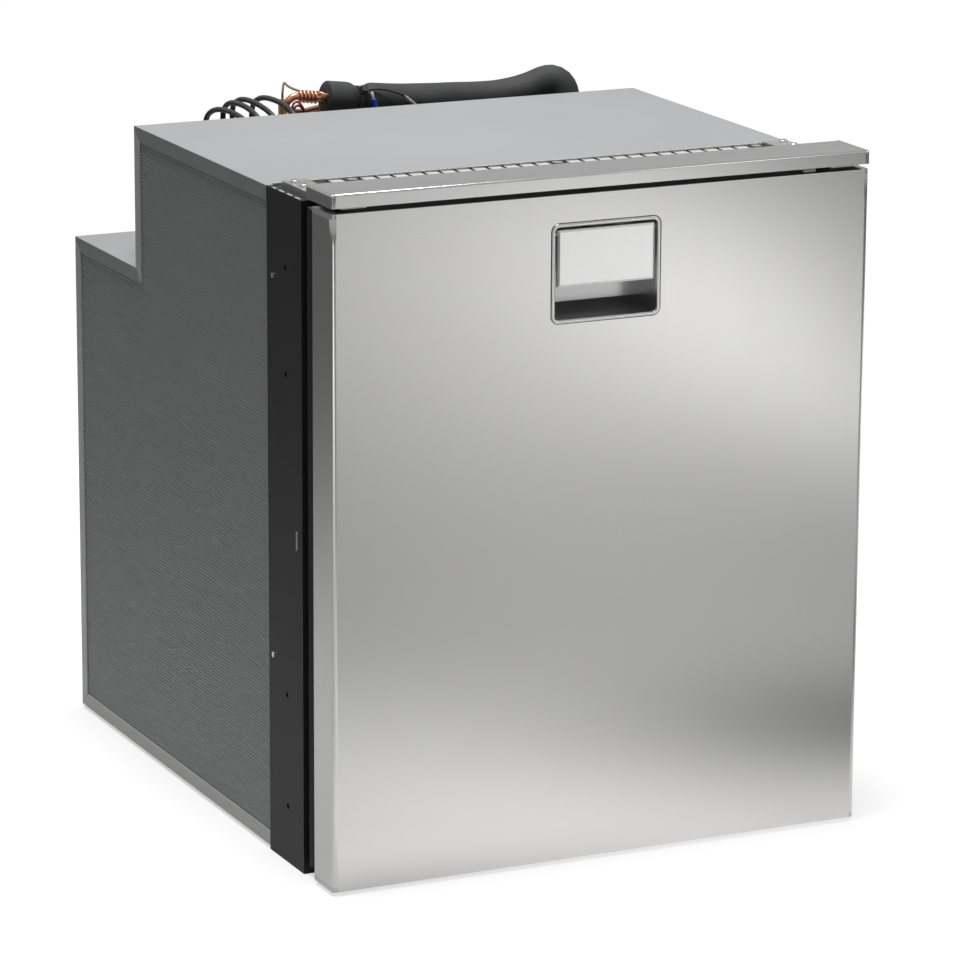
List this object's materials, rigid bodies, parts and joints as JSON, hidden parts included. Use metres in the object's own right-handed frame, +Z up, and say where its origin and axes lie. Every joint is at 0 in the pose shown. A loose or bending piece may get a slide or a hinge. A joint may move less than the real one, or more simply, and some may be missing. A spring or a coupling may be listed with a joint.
{
  "type": "drawer fridge",
  "caption": "Built-in drawer fridge with a stainless front, recessed flap handle, black front frame, ribbed stepped cabinet and a cooling unit on the step behind.",
  "frame": {"origin": "middle of the bounding box's base, on the surface that the fridge stands on", "axes": "+X to the right seen from the front, +Y to the back, +Z up; the drawer opens along -Y"},
  "size_m": [0.44, 0.528, 0.5288],
  "materials": {
    "stainless": "fine upright brushing",
    "frame_paint": "semi-gloss black",
    "casing_paint": "semi-gloss grey",
    "trim_steel": "satin, brushed along its length",
    "zinc_steel": "galvanised",
    "bare_steel": "bright",
    "bezel_metal": "polished",
    "flap_metal": "satin",
    "insulation": "rigid foam",
    "pipe_foam": "closed-cell foam",
    "liner_plastic": "gloss",
    "white_plastic": "satin",
    "black_plastic": "satin",
    "cap_plastic": "satin silver grey",
    "bin_plastic": "translucent grey",
    "clear_lens": "clear",
    "rubber": "matt",
    "gasket_rubber": "matt",
    "cable_rubber": "satin",
    "wire_plastic": "satin",
    "copper": "dull copper",
    "aluminium": "satin",
    "compressor_paint": "gloss black"
  },
  "bodies": {
    "cabinet": {"front_frame": "frame_paint", "top_fold_strip": "frame_paint", "edge_tabs": "bare_steel", "side_panels": "casing_paint", "top_panel": "casing_paint", "rear_panels": "casing_paint", "step_panel": "casing_paint", "base_panel": "casing_paint", "foam_core": "insulation", "inner_liner": "liner_plastic", "base_pads": "rubber", "trim_bar": "trim_steel", "trim_end_caps": "trim_steel", "trim_brackets": "zinc_steel", "bracket_screws": "bare_steel", "rivets": "bare_steel", "small_clips": "white_plastic", "striker": "zinc_steel", "cabinet_rails": "zinc_steel", "evaporator": "aluminium", "thermostat_housing": "white_plastic", "lamp_lens": "clear_lens", "drain_plug": "black_plastic", "unit_tray": "zinc_steel", "compressor": "compressor_paint", "compressor_mounts": "rubber", "control_box": "black_plastic", "condenser_fins": "aluminium", "condenser_coil": "copper", "fan_frame": "black_plastic", "filter_drier": "copper", "capillary_tube": "copper", "suction_pipe": "copper", "foam_sleeve_long": "pipe_foam", "foam_sleeve_short": "pipe_foam", "cable_tie": "white_plastic", "cable_hank": "cable_rubber", "cable_leads": "cable_rubber", "signal_wires": "wire_plastic", "rear_grommets": "rubber"},
    "drawer": {"drawer_skin": "stainless", "drawer_core": "insulation", "drawer_liner": "liner_plastic", "gasket": "gasket_rubber", "front_end_caps": "cap_plastic", "handle_bezel": "bezel_metal", "handle_cup": "black_plastic", "handle_back_plate": "zinc_steel", "flap_pin": "bare_steel", "flap_spring": "bare_steel", "drawer_rails": "zinc_steel", "side_frames": "zinc_steel", "lower_bin": "bin_plastic"},
    "flap": {"handle_flap": "flap_metal"},
    "latch": {"latch_bolt": "bare_steel"},
    "middle_left": {"middle_rail_left": "zinc_steel"},
    "middle_right": {"middle_rail_right": "zinc_steel"},
    "tray": {"upper_tray": "bin_plastic"},
    "knob": {"thermostat_knob": "black_plastic"},
    "fan": {"fan_rotor": "black_plastic"}
  },
  "joints": [
    {"name": "drawer_slide", "type": "slide", "parent": "cabinet", "child": "drawer", "axis": [0, -1, 0], "range_m": [0, 0.38]},
    {"name": "middle_rail_left_slide", "type": "slide", "parent": "cabinet", "child": "middle_left", "axis": [0, -1, 0], "range_m": [0, 0.19]},
    {"name": "middle_rail_right_slide", "type": "slide", "parent": "cabinet", "child": "middle_right", "axis": [0, -1, 0], "range_m": [0, 0.19]},
    {"name": "flap_hinge", "type": "hinge", "parent": "drawer", "child": "flap", "pos_m": [0, -0.2588, 0.484], "axis": [-1, 0, 0], "range_deg": [0, 25], "stiffness_Nm_per_rad": 0.3, "springref_deg": -8.59},
    {"name": "latch_slide", "type": "slide", "parent": "drawer", "child": "latch", "axis": [0, 0, -1], "range_m": [0, 0.0086]},
    {"name": "tray_slide", "type": "slide", "parent": "drawer", "child": "tray", "axis": [0, 1, 0], "range_m": [0, 0.11]},
    {"name": "thermostat_knob_turn", "type": "hinge", "parent": "cabinet", "child": "knob", "pos_m": [0.144, -0.101, 0.4485], "axis": [0, 1, 0], "range_deg": [0, 270]},
    {"name": "fan_spin", "type": "hinge", "parent": "cabinet", "child": "fan", "pos_m": [0.153, 0.192, 0.4412], "axis": [0, 1, 0], "continuous": true}
  ],
  "couplings": [
    {"joint": "middle_rail_left_slide", "follows": "drawer_slide", "ratio": 0.5},
    {"joint": "middle_rail_right_slide", "follows": "drawer_slide", "ratio": 0.5},
    {"joint": "latch_slide", "follows": "flap_hinge", "m_per_rad": 0.0195}
  ]
}
